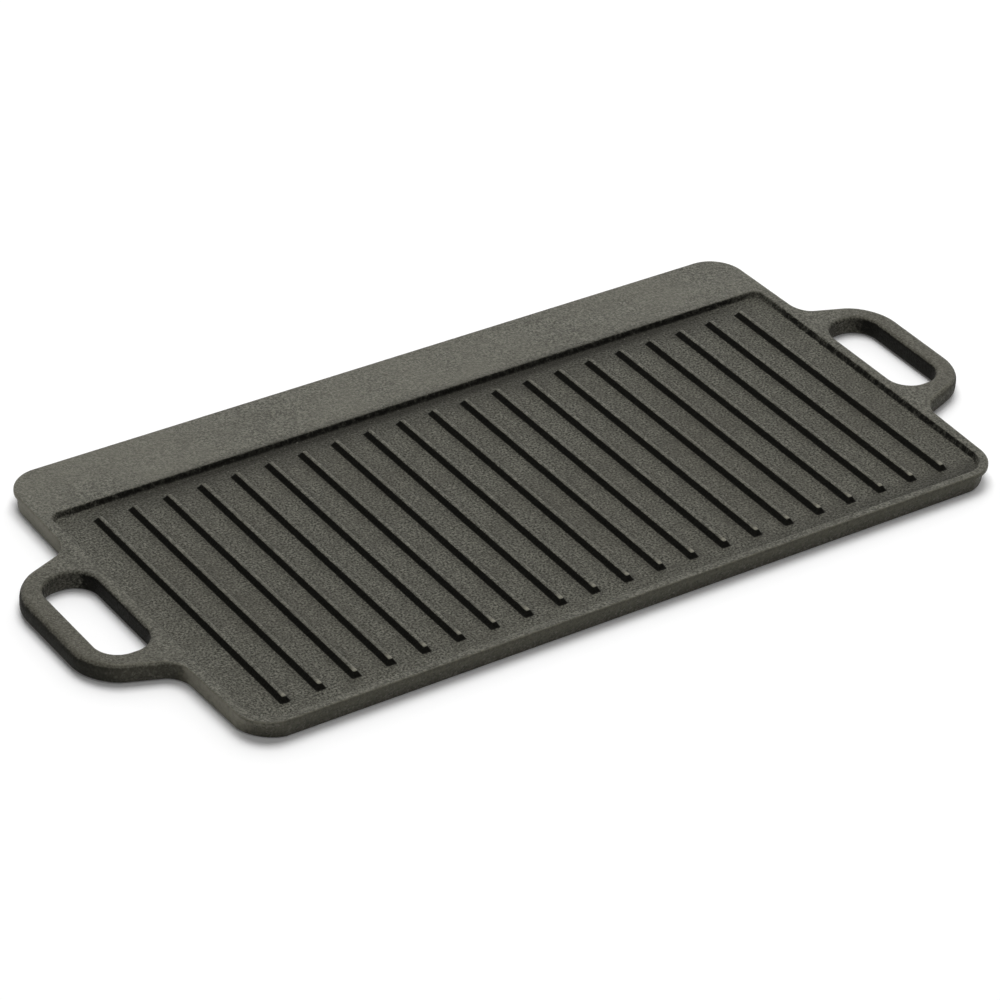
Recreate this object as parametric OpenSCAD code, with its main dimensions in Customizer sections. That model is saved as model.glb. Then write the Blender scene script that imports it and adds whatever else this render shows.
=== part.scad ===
// Reversible cast-iron camp griddle plate with two loop handles, poured in one piece.
// The ribbed side is up: ribs stand in a shallow basin behind a low rim, with a flat landing along
// the back. The flat side is down, with a grease trough under the landing.
// Millimetres, Z up, origin under the middle of the plate, handles towards +X and -X, landing at +Y.

/* [Plate] */
// Length of the plate along its front and back edges, without the handles
plate_length = 431.5; // [300:0.5:520]
// Depth of the plate from its front edge to its back edge
plate_depth = 233.5; // [190:0.5:320]
// Thickness of the casting from the flat side to the rim
thickness = 10.7; // [9.5:0.1:14]
// Radius of the plate's four corners
corner_radius = 18; // [12:0.5:26]
// How far each short side swells out between a corner and the handle's root
side_swell = 1.9; // [0.5:0.1:6]

/* [Outer edges] */
// Height of the lip that the upper half of the mould leaves round the plate
lip_height = 2.5; // [1.5:0.1:3.5]
// Radius along the top of the lip
lip_radius = 1; // [0.4:0.1:1.5]
// How far the lip stands out over the wall below it
lip_overhang = 0.4; // [0.2:0.1:1]
// How much further the lip stands out round the plate's four corners
corner_overhang = 1.4; // [0:0.1:2]
// How far the wall below the lip leans in on its way down
wall_draft = 0.8; // [0:0.1:2]
// Radius along the foot of the plate's wall
foot_radius = 2; // [1:0.1:3.5]
// Radius along the handles' outer edges, above and below
handle_edge_radius = 4; // [2:0.1:4.5]

/* [Handles] */
// How far a handle stands out past the plate's corners
handle_reach = 41; // [38:0.5:60]
// Width over the two arms where they leave the plate
handle_root_width = 105.5; // [98:0.5:130]
// Width over the outer bar, measured at its square corners
handle_bar_width = 76; // [66:0.5:84]
// Radius of the handle's outer corners
handle_corner_radius = 25; // [14:0.5:28]
// Radius of the hollow where an arm leaves the plate
handle_root_radius = 11; // [6:0.5:16]
// How far the handles' middle lies in front of the plate's middle
handle_offset = 1.8; // [0:0.1:8]
// Width of the outer bar that the fingers hold
bar_width = 11.9; // [9:0.1:16]
// Width of the finger slot
slot_width = 27.2; // [25:0.1:28]
// Length of the finger slot
slot_length = 68.4; // [60:0.1:72]
// Radius of the finger slot's corners
slot_radius = 12; // [9:0.5:12.5]
// Radius along the finger slot's edges, above and below
slot_edge_radius = 3.2; // [0.5:0.1:4]

/* [Basin] */
// Width of the low rim along the front and the short sides
rim_width = 4.5; // [4:0.1:8]
// Depth of the flat landing along the back edge
landing_depth = 38.6; // [25:0.1:60]
// Depth of the basin below the rim and the landing
basin_depth = 3; // [2:0.1:4]
// How far the basin's wall leans back over its depth
basin_lean = 1.3; // [0.5:0.1:2]
// Radius of the basin's two front corners
basin_front_radius = 13; // [8:0.5:20]
// Radius of the basin's two back corners
basin_back_radius = 4; // [4:0.5:20]
// Radius of the hollow between the basin's wall and its floor
basin_fillet = 1; // [0.5:0.1:1.5]
// Radius along the rim's inner edge
rim_edge_radius = 1.6; // [0.4:0.1:2.4]

/* [Ribs] */
// Number of ribs
rib_count = 21; // [3:2:21]
// Distance from rib to rib
rib_pitch = 19.05; // [12:0.05:20]
// Height of the ribs above the basin's floor
rib_height = 3; // [1.5:0.1:4]
// Width of a rib at the basin's floor
rib_base_width = 5.2; // [4:0.1:8]
// Width of a rib at its crest
rib_crest_width = 2; // [1.6:0.1:3]
// Radius along both edges of the crest
rib_crest_radius = 1.3; // [0.4:0.1:1.5]
// How far a rib's end faces lean back over its height
rib_end_lean = 2; // [1:0.1:5]
// Floor left free between the landing's step and the ribs
rib_back_gap = 9.4; // [4:0.1:20]
// Floor left free between the front rim and the ribs
rib_front_gap = 9; // [4:0.1:20]

/* [Flat side] */
// Depth of the grease trough
trough_depth = 3; // [1.5:0.1:4]
// Width of the rim between the trough and the plate's edges
trough_rim = 9; // [7:0.5:14]
// How far the trough's wall leans back over its depth
trough_lean = 1.3; // [0.5:0.1:2]
// Radius of the trough's corners
trough_radius = 9; // [6:0.5:12]
// Radius of the hollow between the trough's wall and its ceiling
trough_fillet = 1; // [0.5:0.1:1.4]
// Radius along the trough's mouth
trough_edge_radius = 1.6; // [0.4:0.1:2.4]

/* [Hidden] */
$fn = 48;

// Where the main lines lie
half_length = plate_length / 2;
half_depth = plate_depth / 2;
half_overall = half_length + handle_reach;
handle_y = -handle_offset;
web = thickness - basin_depth;
floor_z = web;
step_y = half_depth - landing_depth;
rib_back_y = step_y - basin_lean - rib_back_gap;
rib_front_y = -half_depth + rim_width + basin_lean + rib_front_gap;
slot_x = half_overall - bar_width - slot_width / 2;

// Angle between the points on an arc of the plate's outline, and steps in the rounding of its edges
arc_step = 11.25;
edge_steps = 4;
// How far the underside of the lip rises on its way out
lip_rise = 0.4;
// Width of the strip that a cut's wall is swept in, how far its filling starts inside the wall, and how
// far a cut runs past the face that it opens
wall_strip = 3.6;
fill_inset = 0.8 * wall_strip;
cut_over = 1;
// How far out a softened edge has run where a cut ends, so that it leaves the face at a slant
run_out = 2.75 * cut_over;
run_slope = atan2(cut_over, run_out);
// How deep a rib is rooted in the web
rib_root = 1;

// Outlines are lists of [x, y, radius] corners, run clockwise so that the inside is on the right
right_side = [
    [half_length, half_depth, corner_radius],
    [half_length + side_swell, handle_y + handle_root_width / 2, handle_root_radius],
    [half_overall, handle_y + handle_bar_width / 2, handle_corner_radius],
    [half_overall, handle_y - handle_bar_width / 2, handle_corner_radius],
    [half_length + side_swell, handle_y - handle_root_width / 2, handle_root_radius],
    [half_length, -half_depth, corner_radius]
];
left_side = [for (i = [len(right_side) - 1 : -1 : 0]) [-right_side[i].x, right_side[i].y, right_side[i].z]];
plate_outline = concat(right_side, left_side);

// Finish of each run of the plate's outline: [top radius, foot radius, overhang of the lip, draft]
plate_edge = [lip_radius, foot_radius, lip_overhang, wall_draft];
handle_edge = [handle_edge_radius, handle_edge_radius, 0, 0];
right_edges = [plate_edge, handle_edge, handle_edge, handle_edge, plate_edge];
outline_edges = concat(right_edges, [plate_edge], right_edges, [plate_edge]);

basin_outline = box_outline(-half_length + rim_width, half_length - rim_width, -half_depth + rim_width, step_y,
                            basin_front_radius, basin_back_radius);
trough_outline = box_outline(-half_length + trough_rim, half_length - trough_rim, step_y + web,
                             half_depth - trough_rim, trough_radius, trough_radius);
slot_outline = box_outline(slot_x - slot_width / 2, slot_x + slot_width / 2, handle_y - slot_length / 2,
                           handle_y + slot_length / 2, slot_radius, slot_radius);

function box_outline(x0, x1, y0, y1, front_r, back_r) =
    [[x1, y1, back_r], [x1, y0, front_r], [x0, y0, front_r], [x0, y1, back_r]];

// Geometry of an outline: heading and turn of its runs, and the arcs that round its corners
function corner(c, i) = c[(i + len(c)) % len(c)];
function heading(c, i) = atan2(corner(c, i + 1).y - corner(c, i).y, corner(c, i + 1).x - corner(c, i).x);
function wrap(a) = a > 180 ? a - 360 : a <= -180 ? a + 360 : a;
function turn(c, i) = wrap(heading(c, i) - heading(c, i - 1));
function along(a, d) = [d * cos(a), d * sin(a)];
function setback(c, i) = corner(c, i).z * tan(abs(turn(c, i)) / 2);
function arc_start(c, i) = [corner(c, i).x, corner(c, i).y] - along(heading(c, i - 1), setback(c, i));
function arc_end(c, i) = [corner(c, i).x, corner(c, i).y] + along(heading(c, i), setback(c, i));
function side(c, i) = turn(c, i) < 0 ? 1 : -1;
function arc_centre(c, i) = arc_start(c, i) + along(heading(c, i - 1) - 90, side(c, i) * corner(c, i).z);

// Flat shape of an outline, its corners true arcs
module shape(c) {
    difference() {
        union() {
            polygon([for (i = [0 : len(c) - 1]) each [arc_start(c, i), arc_end(c, i)]]);
            for (i = [0 : len(c) - 1])
                if (c[i].z > 0 && turn(c, i) < 0) translate(arc_centre(c, i)) circle(c[i].z);
        }
        for (i = [0 : len(c) - 1])
            if (c[i].z > 0 && turn(c, i) > 0) translate(arc_centre(c, i)) circle(c[i].z);
    }
}

// Points along an outline drawn in by inset, with its corners as arcs
function run(c, inset) = [
    for (i = [0 : len(c) - 1])
        let (steps = ceil(abs(turn(c, i)) / arc_step))
        for (k = [0 : steps])
            arc_centre(c, i) + along(heading(c, i - 1) + side(c, i) * 90 + turn(c, i) * k / steps,
                                     c[i].z - side(c, i) * inset)
];

// Solid skin over a stack of rings of points, from the lowest ring to the highest. The second half of
// a ring mirrors the first, so each end is closed with strips that run straight across.
module skin(rings) {
    n = len(rings[0]);
    last = (len(rings) - 1) * n;
    walls = [
        for (k = [0 : len(rings) - 2], j = [0 : n - 1])
            let (a = k * n + j, b = k * n + (j + 1) % n)
            each [[a, b, b + n], [a, b + n, a + n]]
    ];
    strips = [
        for (j = [0 : n / 2 - 2])
            let (a = j, b = j + 1, c = n - 2 - j, d = n - 1 - j)
            each [[a, b, c], [a, c, d]]
    ];
    bottom = [for (f = strips) [f[2], f[1], f[0]]];
    top = [for (f = strips) [last + f[0], last + f[1], last + f[2]]];
    polyhedron([for (r = rings) each r], concat(bottom, walls, top));
}

// Sweeps a section along an outline with round corners: section x runs inwards, section y is up
module sweep(c) {
    for (i = [0 : len(c) - 1]) {
        translate(arc_start(c, i + 1)) rotate([90, 0, heading(c, i) - 90])
            linear_extrude(norm(arc_start(c, i + 1) - arc_end(c, i))) children();
        translate(arc_centre(c, i)) rotate(heading(c, i) + 90) rotate_extrude(angle = -turn(c, i))
            translate([c[i].z, 0]) mirror([1, 0]) children();
    }
}

// Fills an outline between two heights, drawn in by inset so that its rim lies inside a swept strip
module fill(c, inset, z0, z1) {
    translate([0, 0, z0]) linear_extrude(z1 - z0) polygon(run(c, inset));
}

// Section of a pocket's wall: mouth at y = 0, floor at y = -depth, both edges softened
module pocket_section(depth, lean, floor_r, mouth_r) {
    shape([
        [wall_strip, cut_over, 0],
        [wall_strip, -depth, 0],
        [lean, -depth, floor_r],
        [0, 0, mouth_r],
        [-run_out, cut_over, 0]
    ]);
}

// Section of the finger slot's wall, open above and below. Its roundings start at the faces, so the square
// corners that they round lie a little inside them.
module slot_section() {
    rounded = slot_edge_radius * tan((90 - run_slope) / 2);
    drop = rounded * sin(run_slope);
    reach = (drop + cut_over) / tan(run_slope);
    shape([
        [wall_strip, thickness + cut_over, 0],
        [wall_strip, -cut_over, 0],
        [-reach, -cut_over, 0],
        [0, drop, slot_edge_radius],
        [0, thickness - drop, slot_edge_radius],
        [-reach, thickness + cut_over, 0]
    ]);
}

// Stations along an outline, round the arcs of its corners: point, direction outwards, and finish there,
// which changes over from run to run round a corner. A plate corner's lip stands out the most half way.
function stations(c, edges) = [
    for (i = [0 : len(c) - 1])
        let (steps = ceil(abs(turn(c, i)) / arc_step), before = corner(edges, i - 1), after = edges[i],
             bulge = before == plate_edge && after == plate_edge ? corner_overhang : 0)
        for (k = [0 : steps])
            let (a = heading(c, i - 1) + side(c, i) * 90 + turn(c, i) * k / steps)
            [arc_centre(c, i) + along(a, c[i].z), along(a, side(c, i)),
             before + (after - before) * k / steps + [0, 0, bulge * sin(180 * k / steps), 0]]
];

// Height of the lip's underside at a station with finish f
function ledge(f) = thickness - max(lip_height, f[0] + 2 * lip_rise);

// Edge profile of a finish from the foot to the top, as [inset, height] steps
function profile(f) = concat(
    [for (k = [0 : edge_steps])
        let (a = 90 * k / edge_steps, z = f[1] * (1 - cos(a)))
        [f[1] * (1 - sin(a)) + f[2] + f[3] * (1 - z / ledge(f)), z]],
    [[f[2], ledge(f)], [0, ledge(f) + lip_rise]],
    [for (k = [edge_steps : -1 : 0])
        let (a = 90 * k / edge_steps)
        [f[0] * (1 - sin(a)), thickness - f[0] * (1 - cos(a))]]
);

// Plate and handle loops in one outline, its edges finished run by run
module blank() {
    around = stations(plate_outline, outline_edges);
    profiles = [for (q = around) profile(q[2])];
    skin([
        for (k = [0 : len(profiles[0]) - 1]) [
            for (j = [0 : len(around) - 1])
                let (q = around[j][0] - profiles[j][k].x * around[j][1])
                [q.x, q.y, profiles[j][k].y]
        ]
    ]);
}

module basin() {
    translate([0, 0, thickness])
        sweep(basin_outline) pocket_section(basin_depth, basin_lean, basin_fillet, rim_edge_radius);
    fill(basin_outline, fill_inset, floor_z, thickness + cut_over);
}

module trough() {
    mirror([0, 0, 1])
        sweep(trough_outline) pocket_section(trough_depth, trough_lean, trough_fillet, trough_edge_radius);
    fill(trough_outline, fill_inset, -cut_over, trough_depth);
}

module finger_slot() {
    sweep(slot_outline) slot_section();
    fill(slot_outline, fill_inset, -cut_over, thickness + cut_over);
}

// Cross section of one rib, standing on y = 0 and rooted below it
module rib_section() {
    shape([
        [-rib_base_width / 2, -rib_root, 0],
        [-rib_base_width / 2, 0, 0],
        [-rib_crest_width / 2, rib_height, rib_crest_radius],
        [rib_crest_width / 2, rib_height, rib_crest_radius],
        [rib_base_width / 2, 0, 0],
        [rib_base_width / 2, -rib_root, 0]
    ]);
}

// The row of ribs, with both ends sloped like a hipped roof
module ribs() {
    row = (rib_count - 1) * rib_pitch;
    translate([0, 0, floor_z]) intersection() {
        for (i = [0 : rib_count - 1])
            translate([i * rib_pitch - row / 2, rib_back_y, 0])
                rotate([90, 0, 0]) linear_extrude(rib_back_y - rib_front_y) rib_section();
        translate([-row / 2 - rib_base_width, 0, 0]) rotate([90, 0, 90])
            linear_extrude(row + 2 * rib_base_width) polygon([
                [rib_front_y, -2 * rib_root],
                [rib_front_y, 0],
                [rib_front_y + rib_end_lean, rib_height],
                [rib_front_y + rib_end_lean, rib_height + cut_over],
                [rib_back_y - rib_end_lean, rib_height + cut_over],
                [rib_back_y - rib_end_lean, rib_height],
                [rib_back_y, 0],
                [rib_back_y, -2 * rib_root]
            ]);
    }
}

// The whole casting: blank, basin with its ribs, trough and two finger slots
module griddle_plate() {
    color([0.22, 0.215, 0.2]) union() {
        difference() {
            blank();
            basin();
            trough();
            finger_slot();
            mirror([1, 0, 0]) finger_slot();
        }
        ribs();
    }
}

griddle_plate();
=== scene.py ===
import math

import bmesh
import bpy
from mathutils import Matrix, Vector


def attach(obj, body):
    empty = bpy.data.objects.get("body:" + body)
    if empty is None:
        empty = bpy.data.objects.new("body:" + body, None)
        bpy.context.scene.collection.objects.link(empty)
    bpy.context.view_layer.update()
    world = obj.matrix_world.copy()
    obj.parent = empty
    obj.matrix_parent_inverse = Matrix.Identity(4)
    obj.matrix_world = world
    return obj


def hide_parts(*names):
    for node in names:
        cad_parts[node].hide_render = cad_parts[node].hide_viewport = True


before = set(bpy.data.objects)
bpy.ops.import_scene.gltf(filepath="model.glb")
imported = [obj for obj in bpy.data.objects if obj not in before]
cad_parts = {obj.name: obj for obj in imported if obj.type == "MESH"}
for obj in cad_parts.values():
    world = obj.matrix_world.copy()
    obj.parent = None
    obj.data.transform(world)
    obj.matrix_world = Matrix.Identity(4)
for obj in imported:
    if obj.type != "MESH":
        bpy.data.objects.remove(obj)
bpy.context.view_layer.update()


# Plate and handle loops
# One flat casting of grey iron: a plate with round corners whose short sides swell into a loop handle
# each. It is poured in sand: the upper half of the mould leaves a crisp lip round the plate, the wall below
# it draws in, and the loops are rubbed round for the hand.
mm = 0.001
thickness = 10.7
half_length, half_depth, half_overall = 215.75, 116.75, 256.75
plate_corner = 18
side_swell = 1.9
handle_middle = -1.8
root_half, root_hollow = 52.75, 11
bar_half, bar_corner = 38, 25
lip_height, lip_radius, lip_rise = 2.5, 1, 0.4
lip_overhang, corner_overhang, wall_draft = 0.4, 1.4, 0.8
corner_zone = 95
foot_radius, handle_foot_radius = 2, 4
arm_edge_radius, bar_edge_radius = 2.4, 4
changeover = 7
edge_steps = 6
# Wear on the outer edges, with painted light: the walls at the short ends and the handle arms are painted
# lighter than the long sides and the bars, the walls darken towards the foot as painted shade, and bright
# lines along the rounded top edges are painted highlights.
long_side_wear_and_light, short_side_wear_and_light = 0.8, 1.4
arm_wear_and_light, bar_wear_and_light = 0.45, 0.1
long_wall_share, short_wall_share = 0.45, 0.9
arm_line, bar_line = 1, 0.2
edge_line_slope = math.radians(30)

casting = bmesh.new()
worn_and_lit = casting.verts.layers.float.new("worn_and_lit")


def lay_out(corners, height, arc):
    """Flat face looking up, its corners (x, y, radius) in mm rounded off with arc steps to a quarter turn."""
    points = [Vector((x, y)) for x, y, radius in corners]
    verts = [casting.verts.new((x * mm, y * mm, height * mm)) for x, y, radius in corners]
    casting.faces.new(verts)
    for i, (x, y, radius) in enumerate(corners):
        before = points[i] - points[i - 1]
        after = points[(i + 1) % len(points)] - points[i]
        turn = before.angle(after)
        cut = bmesh.ops.bevel(casting, geom=[verts[i]], offset=radius * math.tan(turn / 2) * mm,
                              offset_type="OFFSET", segments=max(3, round(arc * turn / (math.pi / 2))),
                              profile=0.5, affect="VERTICES", material=-1)
    face = next(f for f in cut["verts"][0].link_faces)
    face.normal_update()
    if face.normal.z < 0:
        bmesh.ops.reverse_faces(casting, faces=[face])
    return face


def held(value):
    """A share, held between 0 and 1."""
    return min(1, max(0, value))


def between(first, second, share):
    """The value that lies a share of the way from first to second."""
    return first + (second - first) * share


def rub_and_highlight(slope):
    """Wear and a painted highlight in a thin line along the top of a handle's edge, by the slope there in
    radians.
    """
    return math.sin(math.pi * slope / edge_line_slope) if slope < edge_line_slope else 0


def edge_profile(handle, corner, end):
    """Steps (inset, height, wear and painted light) in mm up an outer edge, by its shares of handle, corner
    and short end.
    """
    top = between(lip_radius, between(arm_edge_radius, bar_edge_radius, end), handle)
    foot = between(foot_radius, handle_foot_radius, handle)
    overhang = lip_overhang * (1 - handle) + corner_overhang * corner
    draft = wall_draft * (1 - handle)
    ledge = thickness - max(lip_height, top + 2 * lip_rise)
    plate_wear_and_light = between(long_side_wear_and_light, short_side_wear_and_light, end ** 3)
    ground_and_lit = between(plate_wear_and_light, between(arm_wear_and_light, bar_wear_and_light, end), handle)
    wall_wear_and_light = between(long_wall_share, short_wall_share, end) * ground_and_lit
    line = between(arm_line, bar_line, end) * handle
    quarter = [math.radians(90 * k / edge_steps) for k in range(edge_steps + 1)]
    steps = []
    for slope in quarter:
        z = foot * (1 - math.cos(slope))
        inset = foot * (1 - math.sin(slope)) + overhang + draft * (1 - z / ledge)
        steps.append((inset, z, wall_wear_and_light * math.sin(slope)))
    steps += [(overhang, ledge, ground_and_lit), (0, ledge + lip_rise, ground_and_lit)]
    # The rounded top edge: wear, with a painted highlight line along the plate's lip and along the top of the
    # handles' edges.
    for slope in reversed(quarter):
        wear_and_light = max(ground_and_lit * math.sin(slope), (1 - handle) * math.sin(2 * slope), line * rub_and_highlight(slope))
        steps.append((top * (1 - math.sin(slope)), thickness - top * (1 - math.cos(slope)), wear_and_light))
    return steps


right_hand = [
    (half_length, half_depth, plate_corner),
    (half_length + side_swell, handle_middle + root_half, root_hollow),
    (half_overall, handle_middle + bar_half, bar_corner),
    (half_overall, handle_middle - bar_half, bar_corner),
    (half_length + side_swell, handle_middle - root_half, root_hollow),
    (half_length, -half_depth, plate_corner),
]
left_hand = [(-x, y, radius) for x, y, radius in reversed(right_hand)]
plan = lay_out(right_hand + left_hand, height=0, arc=14)
stations = []
for loop in plan.loops:
    place = loop.vert.co.copy()
    run = loop.link_loop_next.vert.co - loop.link_loop_prev.vert.co
    outwards = Vector((run.y, -run.x, 0)).normalized()
    on_handle = held((abs(place.x) / mm - half_length - side_swell) / changeover)
    at_corner = abs(2 * outwards.x * outwards.y) if abs(place.y) > corner_zone * mm else 0
    stations.append((loop.vert, place, outwards, edge_profile(on_handle, at_corner, outwards.x ** 2)))
rings = []
for level in range(len(stations[0][3])):
    copy = bmesh.ops.duplicate(casting, geom=[plan])
    for vert, place, outwards, steps in stations:
        inset, height, wear_and_light = steps[level]
        moved = copy["vert_map"][vert]
        moved.co = place - outwards * inset * mm + Vector((0, 0, height * mm))
        moved[worn_and_lit] = wear_and_light
    rings.append([copy["edge_map"][edge] for edge in plan.edges])
    bmesh.ops.delete(casting, geom=[copy["face_map"][plan]], context="FACES_ONLY")
for lower, upper in zip(rings, rings[1:]):
    bmesh.ops.bridge_loops(casting, edges=lower + upper)
underside_rim, top_rim = rings[0], rings[-1]
bmesh.ops.delete(casting, geom=plan.verts[:], context="VERTS")


# Basin
# A shallow pan moulded into the cooking side, 3 mm below a narrow rim at the front and the short sides
# and below the wide landing at the back. Its wall leans with the mould's draft, soft at top and bottom.
basin_depth, wall_lean = 3, 1.3
rim = 3.5
step_y, step_setback = 78.15, 1.1
basin_side, basin_front, basin_back = half_length - rim, -half_depth + rim, step_y + step_setback
basin_front_corner, basin_back_corner = 14, 6
basin_mouth_radius, basin_hollow_radius = 1.5, 1.8
wall_slope = math.degrees(math.atan2(basin_depth, wall_lean))


def step_in(face, steps):
    """Insets a face step by step, each (inwards, along its normal) in mm, and returns the outermost edges."""
    mouth = []
    for inwards, along in steps:
        strip = bmesh.ops.inset_region(casting, faces=[face], thickness=inwards * mm, depth=along * mm,
                                       use_boundary=True, use_even_offset=True)["faces"]
        mouth = mouth or [edge for part in strip for edge in part.edges if edge.is_boundary]
    return mouth


def rounding(radius, start, end, steps):
    """Steps (inwards, along) in mm round an arc that goes from one slope to another, in degrees from flat."""
    angles = [math.radians(start + (end - start) * k / steps) for k in range(steps + 1)]
    return [(radius * abs(math.sin(b) - math.sin(a)), radius * abs(math.cos(b) - math.cos(a)))
            for a, b in zip(angles, angles[1:])]


def pocket(mouth_radius, depth, floor_radius):
    """Steps down the wall of a pocket: a rounded mouth, the leaning wall and the hollow at its foot."""
    mouth = rounding(mouth_radius, 0, wall_slope, steps=5)
    hollow = rounding(floor_radius, wall_slope, 0, steps=5)
    straight = depth - sum(down for inwards, down in mouth + hollow)
    wall = [(straight / math.tan(math.radians(wall_slope)), straight)]
    return [(inwards, -down) for inwards, down in mouth + wall + hollow]


basin = lay_out([
    (basin_side, basin_back, basin_back_corner), (-basin_side, basin_back, basin_back_corner),
    (-basin_side, basin_front, basin_front_corner), (basin_side, basin_front, basin_front_corner),
], height=thickness, arc=12)
basin_mouth = step_in(basin, pocket(basin_mouth_radius, basin_depth, basin_hollow_radius))
basin_foot = basin.edges[:]
bmesh.ops.delete(casting, geom=[basin], context="FACES_ONLY")


# Ribs
# A row of ribs runs from front to back and keeps the food out of its fat. They stand as high as the rim,
# taper with the draft, and end in sloped ends, with a small hollow where they grow out of the floor.
floor_z = thickness - basin_depth
rib_front, rib_back = -101.95, 67.45
ribs_each_side, rib_pitch = 10, 19.05
rib_height, rib_lean = 3, 1.6
rib_half_width, rib_corner, corner_limit = 3.05, 0.8, 0.9
rib_hollow_radius, rib_crown_radius = 0.8, 1.35
end_reach, end_lean = 0.35, 1.15
bright_crown_rings, tip_length = 5, 3.5
front_tip_wear_and_highlight, back_tip_wear_and_highlight = 1.5, 0.2

flank_slope = math.degrees(math.atan2(rib_height, rib_lean))
rib_hollow = rounding(rib_hollow_radius, 0, flank_slope, steps=4)
rib_crown = rounding(rib_crown_radius, flank_slope, 0, steps=6)
rib_straight = rib_height - sum(upwards for inwards, upwards in rib_hollow + rib_crown)
rib_flank = [(rib_straight / math.tan(math.radians(flank_slope)), rib_straight)]
rib_steps = [(0, 0)] + rib_hollow + rib_flank + rib_crown
half_width, height = rib_half_width, floor_z
front, back = rib_front - end_reach, rib_back + end_reach
rings = []
for inwards, upwards in rib_steps:
    half_width -= inwards
    height += upwards
    front += inwards * end_lean
    back -= inwards * end_lean
    radius = min(rib_corner, corner_limit * half_width)
    crest = lay_out([(half_width, back, radius), (-half_width, back, radius),
                     (-half_width, front, radius), (half_width, front, radius)], height, arc=4)
    rings.append(crest.edges[:])
    # The crowns near the rib ends carry wear and a painted highlight, strongest at the front ends.
    if len(rings) > len(rib_steps) - bright_crown_rings:
        for vert in crest.verts:
            vert[worn_and_lit] = front_tip_wear_and_highlight if vert.co.y < 0 else back_tip_wear_and_highlight
    if len(rings) < len(rib_steps):
        bmesh.ops.delete(casting, geom=[crest], context="FACES_ONLY")
rib = [crest]
for lower, upper in zip(rings, rings[1:]):
    rib += bmesh.ops.bridge_loops(casting, edges=lower + upper)["faces"]
for bright_tips_end_at in (front + tip_length, back - tip_length):
    corners = dict.fromkeys(corner for face in rib for corner in face.verts)
    sides = dict.fromkeys(edge for face in rib for edge in face.edges)
    cut = bmesh.ops.bisect_plane(casting, geom=[*corners, *sides, *rib],
                                 plane_co=(0, bright_tips_end_at * mm, 0), plane_no=(0, 1, 0))
    rib = [g for g in cut["geom"] if isinstance(g, bmesh.types.BMFace)]
    for g in cut["geom_cut"]:
        if isinstance(g, bmesh.types.BMVert):
            g[worn_and_lit] = 0
rib_foot = [edge for face in rib for edge in face.edges if edge.is_boundary]
for place in range(-ribs_each_side, ribs_each_side + 1):
    if place == 0:
        continue
    copy = bmesh.ops.duplicate(casting, geom=rib)["geom"]
    bmesh.ops.translate(casting, verts=[g for g in copy if isinstance(g, bmesh.types.BMVert)],
                        vec=(place * rib_pitch * mm, 0, 0))
    rib_foot += [g for g in copy if isinstance(g, bmesh.types.BMEdge) and g.is_boundary]


# Finger slots
# Each loop has one long slot with round ends, wide enough for the fingers of a gloved hand. Its edges are
# well rounded above and below, so that the outer bar is comfortable to carry.
bar_width = 11.9
slot_half_width, slot_half_length, slot_corner = 13.6, 34.2, 12
slot_middle = half_overall - bar_width - slot_half_width
upper_lip, lower_lip = 2.3, 3
slot_mouths_above, slot_mouths_below = [], []
for side in (1, -1):
    necks = []
    for height, lip, mouths in ((thickness, upper_lip, slot_mouths_above), (0, lower_lip, slot_mouths_below)):
        right, left = (side * slot_middle + way * (slot_half_width + lip) for way in (1, -1))
        rear, fore = (handle_middle + way * (slot_half_length + lip) for way in (1, -1))
        radius = slot_corner + lip
        slot = lay_out([(right, rear, radius), (left, rear, radius),
                        (left, fore, radius), (right, fore, radius)], height, arc=14)
        if height == 0:
            bmesh.ops.reverse_faces(casting, faces=[slot])
        mouths += step_in(slot, [(inwards, -down) for inwards, down in rounding(lip, 0, 90, steps=6)])
        necks += slot.edges[:]
        bmesh.ops.delete(casting, geom=[slot], context="FACES_ONLY")
    bmesh.ops.bridge_loops(casting, edges=necks)


# Grease trough
# The flat side carries a long shallow trough under the landing, where the iron is thick enough for it.
# The fat from the flat griddle face runs into it.
trough_depth, trough_corner = 3, 9.6
trough_rim, trough_web = 8.4, 7.1
trough_side = half_length - trough_rim
trough_back, trough_front = half_depth - trough_rim, step_y + trough_web
trough_mouth_radius, trough_hollow_radius = 0.9, 1.2
trough = lay_out([
    (trough_side, trough_back, trough_corner), (-trough_side, trough_back, trough_corner),
    (-trough_side, trough_front, trough_corner), (trough_side, trough_front, trough_corner),
], height=0, arc=12)
bmesh.ops.reverse_faces(casting, faces=[trough])
trough_mouth = step_in(trough, pocket(trough_mouth_radius, trough_depth, trough_hollow_radius))


# Skin and iron
# The flat faces close the casting between the rim, the ribs, the slots and the trough. The iron is
# seasoned: oil baked on to a black skin, thick where faces are steep and darkened there further as painted
# shade, with the sand's grain showing through.
for edges, normal_z in ((top_rim + basin_mouth + slot_mouths_above, 1), (basin_foot + rib_foot, 1),
                        (underside_rim + trough_mouth + slot_mouths_below, -1)):
    bmesh.ops.triangle_fill(casting, edges=edges, use_beauty=True, normal=(0, 0, normal_z))
bmesh.ops.recalc_face_normals(casting, faces=casting.faces[:])
for face in casting.faces:
    face.smooth = True
casting.normal_update()

ribs_end, rib_waist = ribs_each_side * rib_pitch + 4.5, floor_z + rib_height / 2
rib_margin, basin_margin, floor_margin = 1, 0.1, 0.001
# Shares of oil and painted shade; the walls that face the ends are painted darkest.
basin_oil_and_shade, corner_loss = 0.68, 1.2
slot_oil_and_shade, side_oil_and_shade, end_oil_and_shade = 0.2, 0.46, 0.95


def oil_and_shade_kept(upwards, flattest, span):
    """Share of oil and painted shade by the upward part of a face's direction: none at the flattest, all a
    span steeper.
    """
    return held((flattest - upwards) / span)
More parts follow.
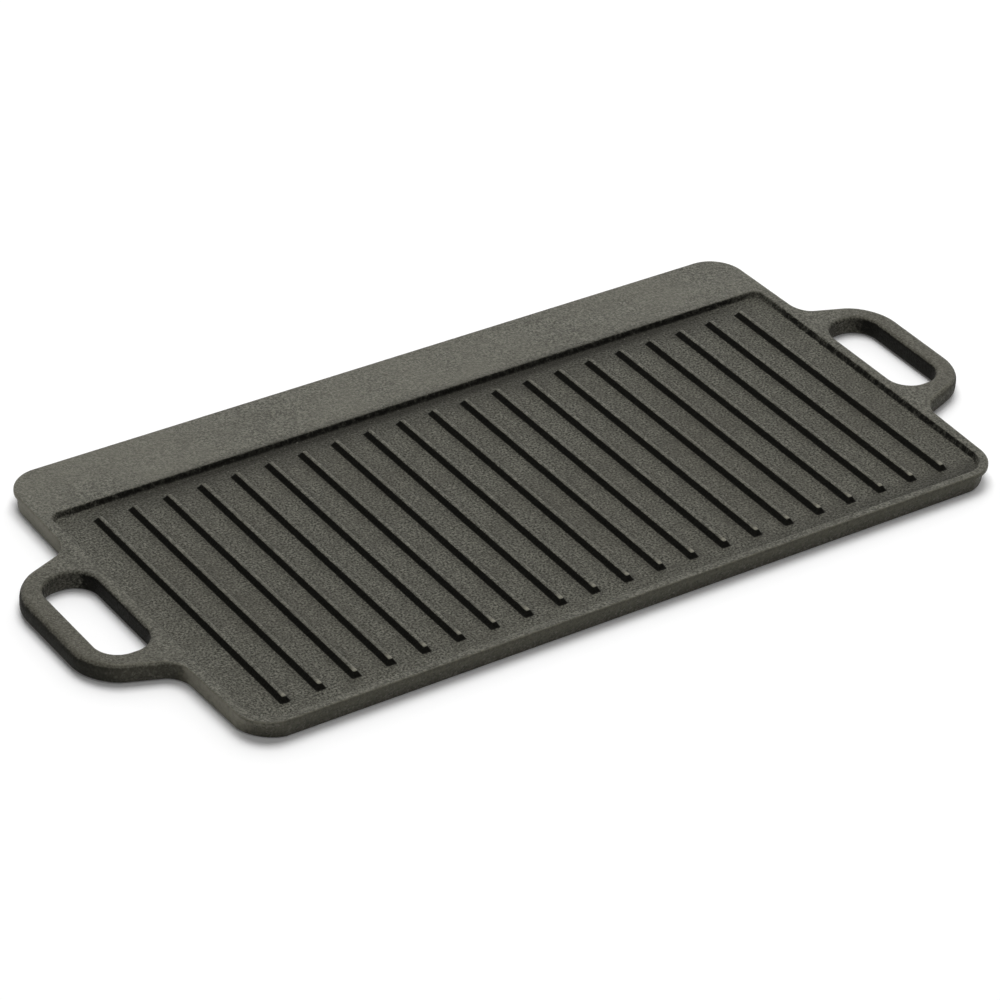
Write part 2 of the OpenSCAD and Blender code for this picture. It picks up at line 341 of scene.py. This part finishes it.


# Most oil and painted shade on the ribs, less on the basin's walls and the front lip, and on the outside most
# on the walls facing the ends, where the darkening is painted shade
oil_and_shade = casting.verts.layers.float.new("oil_and_shade")
for vert in casting.verts:
    out, y, z = abs(vert.co.x) / mm, vert.co.y / mm, vert.co.z / mm
    facing = vert.normal
    above_floor = z > floor_z - floor_margin
    if above_floor and out < ribs_end and rib_front - rib_margin < y < rib_back + rib_margin:
        flattest, span = (0.985, 0.06) if z < rib_waist else (0.89, 0.25)
        vert[oil_and_shade] = oil_and_shade_kept(facing.z, flattest, span)
    elif above_floor and out < basin_side + basin_margin and y < basin_back + basin_margin:
        dark_share = max(0, basin_oil_and_shade - corner_loss * abs(facing.x * facing.y))
        vert[oil_and_shade] = oil_and_shade_kept(facing.z, flattest=0.985, span=0.22) * dark_share
    else:
        beside_slot = abs(out - slot_middle) < slot_half_width + lower_lip
        in_slot = beside_slot and abs(y - handle_middle) < slot_half_length + lower_lip
        dark_share = between(slot_oil_and_shade if in_slot else side_oil_and_shade, end_oil_and_shade, facing.x ** 2)
        vert[oil_and_shade] = oil_and_shade_kept(abs(facing.z), flattest=0.85, span=0.32) * dark_share

casting_mesh = bpy.data.meshes.new("griddle_casting")
casting.to_mesh(casting_mesh)
casting.free()
griddle = bpy.data.objects.new("griddle_casting", casting_mesh)
bpy.context.scene.collection.objects.link(griddle)
normals = griddle.modifiers.new("soft_edges", "WEIGHTED_NORMAL")
normals.mode = "FACE_AREA"
normals.weight = 100

seasoned_iron = bpy.data.materials.new("seasoned_iron")
seasoned_iron.use_nodes = True
nodes, links = seasoned_iron.node_tree.nodes, seasoned_iron.node_tree.links
surface = nodes["Principled BSDF"]
where = nodes.new("ShaderNodeTexCoord")


def noise(scale, detail, stretch=(1, 1, 1)):
    """Noise in the object's own space, drawn out where stretch is below 1."""
    drawn = nodes.new("ShaderNodeMapping")
    drawn.inputs["Scale"].default_value = stretch
    links.new(where.outputs["Object"], drawn.inputs["Vector"])
    grain = nodes.new("ShaderNodeTexNoise")
    grain.inputs["Scale"].default_value = scale
    grain.inputs["Detail"].default_value = detail
    grain.inputs["Roughness"].default_value = 0.65
    links.new(drawn.outputs["Vector"], grain.inputs["Vector"])
    return grain.outputs["Fac"]


def spread(value, low, high, to_low, to_high):
    """Maps a value from one range to another, held at both ends."""
    fit = nodes.new("ShaderNodeMapRange")
    for name, number in (("From Min", low), ("From Max", high), ("To Min", to_low), ("To Max", to_high)):
        fit.inputs[name].default_value = number
    links.new(value, fit.inputs["Value"])
    return fit.outputs["Result"]


def fade(position, start, end, at_start, at_end):
    """A share that changes over a run of positions in mm."""
    return spread(position, start * mm, end * mm, at_start, at_end)


def feed(socket, value):
    """Gives a socket its value, which is a constant or another socket."""
    if isinstance(value, bpy.types.NodeSocket):
        links.new(value, socket)
    else:
        socket.default_value = value


def blend(share, first, second):
    """Mixes two colours by a share."""
    mix = nodes.new("ShaderNodeMix")
    mix.data_type = "RGBA"
    for socket, value in ((mix.inputs[0], share), (mix.inputs[6], first), (mix.inputs[7], second)):
        feed(socket, value)
    return mix.outputs[2]


def work(kind, first, second=0):
    """One step of arithmetic on one or two values."""
    step = nodes.new("ShaderNodeMath")
    step.operation = kind
    feed(step.inputs[0], first)
    feed(step.inputs[1], second)
    return step.outputs[0]


def product(first, *others):
    """All the values multiplied."""
    for other in others:
        first = work("MULTIPLY", first, other)
    return first


def painted(name):
    """The share that the casting's points carry under a name."""
    attribute = nodes.new("ShaderNodeAttribute")
    attribute.attribute_name = name
    return attribute.outputs["Fac"]


sand_pits, sand_tops = (0.012, 0.0117, 0.0095, 1), (0.165, 0.1617, 0.1320, 1)
brown_skin, dull_skin = (0.050, 0.0445, 0.0340, 1), (0.036, 0.0345, 0.0280, 1)
landing_grey, handled_brown = (0.155, 0.151, 0.122, 1), (0.047, 0.0415, 0.0305, 1)
# The darkening colour paints shade by the ribs and the step and darkens the floor by the front wall; the
# black colour paints oil and shade.
darkening_colour, oil_and_shade_black_colour = (0.010, 0.0092, 0.0072, 1), (0.002, 0.0019, 0.0015, 1)
bright_speck = (0.20, 0.195, 0.165, 1)
# Rubbed and bare iron colours, also used for painted light and painted highlights.
rubbed_and_lit_colour, bare_and_lit_colour = (0.14, 0.134, 0.104, 1), (0.26, 0.25, 0.205, 1)

# Grain of the sand and the larger patches of the skin
sand = spread(noise(scale=900, detail=6), 0.41, 0.63, 0, 1)
pores = noise(scale=420, detail=2)
patches = noise(scale=14, detail=4)
streaks = noise(scale=90, detail=3, stretch=(0.06, 1, 1))
blotches = spread(noise(scale=110, detail=2), 0.42, 0.64, 0, 0.35)
specks = spread(noise(scale=760, detail=1), 0.67, 0.77, 0, 0.7)

# Places on the casting
axes = nodes.new("ShaderNodeSeparateXYZ")
links.new(where.outputs["Object"], axes.inputs["Vector"])
x, y, z = (axes.outputs[name] for name in ("X", "Y", "Z"))
basin_middle, basin_half_depth = (basin_back + basin_front) / 2, (basin_back - basin_front) / 2
from_middle = work("ABSOLUTE", x)
from_basin_middle = work("ABSOLUTE", work("SUBTRACT", y, basin_middle * mm))
from_rib = work("PINGPONG", x, rib_pitch / 2 * mm)
upper_side = fade(z, 5, 6, 0, 1)
on_floor = product(upper_side, fade(z, 8, 9, 1, 0),
                   fade(from_middle, basin_side + 0.25, basin_side + 1.25, 1, 0),
                   fade(from_basin_middle, basin_half_depth + 0.25, basin_half_depth + 1.25, 1, 0))
raised = product(fade(z, 9.2, 10.6, 0, 1), fade(y, 60, 80, 0.45, 1))

# Painted shade beside the ribs' feet, a painted shadow on the floor before the landing, the floor darker
# towards the front right corner, and painted shade over the landing's edge
painted_shade_by_ribs = product(fade(from_rib, 3, 7.5, 0.27, 0), on_floor,
                  fade(from_basin_middle, 84, 88, 1, 0), fade(from_middle, 196, 199, 1, 0))
# Painted shadow of the step on the floor in front of it.
painted_step_shadow = product(fade(y, 56, 73, 0, 0.6), on_floor, fade(from_middle, 165, 205, 1, 0.2))
# The floor darker along the front wall, more towards the right.
darker_by_front_wall = product(fade(y, -109, -97, 1, 0), on_floor, fade(x, -40, 200, 0, 0.75))
# Painted shade over the step's wall, its foot and the landing's edge, fading towards the right.
painted_step_shade = product(work("MINIMUM", fade(y, 76.5, 82.5, 0.7, 0), fade(y, 70.5, 74.5, 0, 0.85)),
                  upper_side, fade(from_middle, 120, 200, 1, 0.15))

# Black oil and painted shade with a ragged edge, thinner in the back corners, and what hands and use have
# rubbed, lightened further by painted light on the end walls and painted highlights on the edges and rib tips
thinner_at_back_corners = work("MAXIMUM", fade(from_middle, 192, 208, 1, 0.3), fade(y, 52, 70, 1, 0.3))
ragged = work("SUBTRACT", pores, 0.5)
black_oil_and_shade = product(spread(work("ADD", painted("oil_and_shade"), ragged), 0.3, 0.7, 0, 1), thinner_at_back_corners)
handled = fade(from_middle, 222, 250, 0, 0.45)
# Wear, and with it painted light on the walls and painted highlights along the edges and on the rib tips.
wear_and_light = painted("worn_and_lit")
rubbed_and_lit = product(wear_and_light, spread(pores, 0.30, 0.62, 0.25, 0.8))
bare_and_lit = spread(wear_and_light, 0.9, 1.5, 0, 0.6)

iron = blend(sand, sand_pits, sand_tops)
for share, colour in (
    (spread(patches, 0.45, 0.70, 0, 0.35), brown_skin), (blotches, dull_skin),
    (painted_shade_by_ribs, darkening_colour), (painted_step_shadow, darkening_colour), (darker_by_front_wall, darkening_colour), (handled, handled_brown),
    (product(raised, spread(patches, 0.35, 0.65, 0.2, 0.5)), landing_grey), (painted_step_shade, darkening_colour),
    (specks, bright_speck), (black_oil_and_shade, oil_and_shade_black_colour), (rubbed_and_lit, rubbed_and_lit_colour), (bare_and_lit, bare_and_lit_colour),
):
    iron = blend(share, iron, colour)
links.new(iron, surface.inputs["Base Color"])

roughness = spread(sand, 0, 1, 0.62, 0.46)
roughness = work("SUBTRACT", roughness, product(raised, spread(streaks, 0.35, 0.65, 0.04, 0.12)))
roughness = work("ADD", roughness, product(black_oil_and_shade, 0.2))
links.new(roughness, surface.inputs["Roughness"])
surface.inputs["Specular IOR Level"].default_value = 0.2
surface.inputs["Specular Tint"].default_value = (1, 0.985, 0.82, 1)
surface.inputs["IOR"].default_value = 1.5
bump = nodes.new("ShaderNodeBump")
bump.inputs["Strength"].default_value = 0.9
bump.inputs["Distance"].default_value = 0.16 * mm
links.new(work("ADD", sand, product(pores, 2.5)), bump.inputs["Height"])
links.new(bump.outputs["Normal"], surface.inputs["Normal"])
casting_mesh.materials.append(seasoned_iron)
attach(griddle, "root")
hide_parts("griddle_plate")


# Table
# A plain studio table of matt white board, with the plate lying on it on its flat side.
# Where the camera or a shine sees the board, a little haze lifts it to clean white.
table_half, table_drop = 6, 0.0002
haze_strength = 0.06
table_mesh = bmesh.new()
bmesh.ops.create_grid(table_mesh, x_segments=1, y_segments=1, size=table_half)
bmesh.ops.translate(table_mesh, verts=table_mesh.verts[:], vec=(0, 0, -table_drop))
table_data = bpy.data.meshes.new("table")
table_mesh.to_mesh(table_data)
table_mesh.free()
table = bpy.data.objects.new("table", table_data)
bpy.context.scene.collection.objects.link(table)
white_table = bpy.data.materials.new("white_table")
white_table.use_nodes = True
table_nodes, table_links = white_table.node_tree.nodes, white_table.node_tree.links
board = table_nodes["Principled BSDF"]
board.inputs["Base Color"].default_value = (0.95, 0.95, 0.95, 1)
board.inputs["Roughness"].default_value = 0.9
board.inputs["Specular IOR Level"].default_value = 0.0
ray = table_nodes.new("ShaderNodeLightPath")
seen = table_nodes.new("ShaderNodeMath")
seen.operation = "MAXIMUM"
table_links.new(ray.outputs["Is Camera Ray"], seen.inputs[0])
table_links.new(ray.outputs["Is Glossy Ray"], seen.inputs[1])
lift = table_nodes.new("ShaderNodeMath")
lift.operation = "MULTIPLY"
lift.inputs[1].default_value = haze_strength
table_links.new(seen.outputs[0], lift.inputs[0])
haze = table_nodes.new("ShaderNodeEmission")
table_links.new(lift.outputs[0], haze.inputs["Strength"])
hazy_board = table_nodes.new("ShaderNodeAddShader")
table_links.new(board.outputs[0], hazy_board.inputs[0])
table_links.new(haze.outputs[0], hazy_board.inputs[1])
table_links.new(hazy_board.outputs[0], table_nodes["Material Output"].inputs["Surface"])
table_data.materials.append(white_table)


# Studio light
# A wide soft box hangs above and a little behind the plate, and a small weak one fills in from the front.
# A white backdrop at the back right lights the iron at a low angle, and the camera's side of the room is dim.
backdrop_direction = (0.583, 0.694, 0.423)
backdrop_edge, backdrop_middle = 0.45, 0.92
dim_room, lit_backdrop = 0.08, 1.2


def soft_box(name, place, width, power):
    """A square lamp that looks at the middle of the plate, in metres and watts."""
    lamp = bpy.data.lights.new(name, "AREA")
    lamp.shape = "SQUARE"
    lamp.size = width
    lamp.energy = power
    box = bpy.data.objects.new(name, lamp)
    box.location = place
    box.rotation_euler = (-Vector(place)).to_track_quat("-Z", "Y").to_euler()
    bpy.context.scene.collection.objects.link(box)


soft_box("overhead_box", (0.3, 0.6, 2.6), 1.7, 52)
soft_box("front_box", (-0.6, -1.7, 2.2), 0.8, 10)

room = bpy.data.worlds.new("room")
room.use_nodes = True
room_nodes, room_links = room.node_tree.nodes, room.node_tree.links
direction = room_nodes.new("ShaderNodeTexCoord")
towards_backdrop = room_nodes.new("ShaderNodeVectorMath")
towards_backdrop.operation = "DOT_PRODUCT"
towards_backdrop.inputs[1].default_value = backdrop_direction
room_links.new(direction.outputs["Generated"], towards_backdrop.inputs[0])
fall_off = room_nodes.new("ShaderNodeMapRange")
fall_off.interpolation_type = "SMOOTHSTEP"
for name, number in (("From Min", backdrop_edge), ("From Max", backdrop_middle),
                     ("To Min", dim_room), ("To Max", lit_backdrop)):
    fall_off.inputs[name].default_value = number
room_links.new(towards_backdrop.outputs["Value"], fall_off.inputs["Value"])
room_links.new(fall_off.outputs["Result"], room_nodes["Background"].inputs["Strength"])
room_nodes["Background"].inputs["Color"].default_value = (1, 1, 1, 1)
bpy.context.scene.world = room
bpy.context.scene.view_settings.view_transform = "Standard"


# Camera
# A long lens looks down on the plate from the front left, turned a little about its own axis.
# It stands about two metres away, and its place is in mm from a point in the middle of the plate.
azimuth, elevation, roll = (math.radians(angle) for angle in (-36.283, 33.759, 3.631))
distance, shift_right, shift_up = 2119.528, -3.577, -5.837
aim = Vector((0, 0, 1.5))
sensor_width, lens_in_widths = 36, 4.3483
view_back = Vector((math.sin(azimuth) * math.cos(elevation), -math.cos(azimuth) * math.cos(elevation),
                    math.sin(elevation)))
level = Vector((math.cos(azimuth), math.sin(azimuth), 0))
upright = view_back.cross(level)
view_right = level * math.cos(roll) + upright * math.sin(roll)
view_up = upright * math.cos(roll) - level * math.sin(roll)
camera_data = bpy.data.cameras.new("camera")
camera_data.sensor_width = sensor_width
camera_data.lens = sensor_width * lens_in_widths
camera = bpy.data.objects.new("camera", camera_data)
camera.matrix_world = Matrix((view_right, view_up, view_back)).transposed().to_4x4()
camera.location = (view_right * shift_right + view_up * shift_up + view_back * distance + aim) * mm
bpy.context.scene.collection.objects.link(camera)
bpy.context.scene.camera = camera
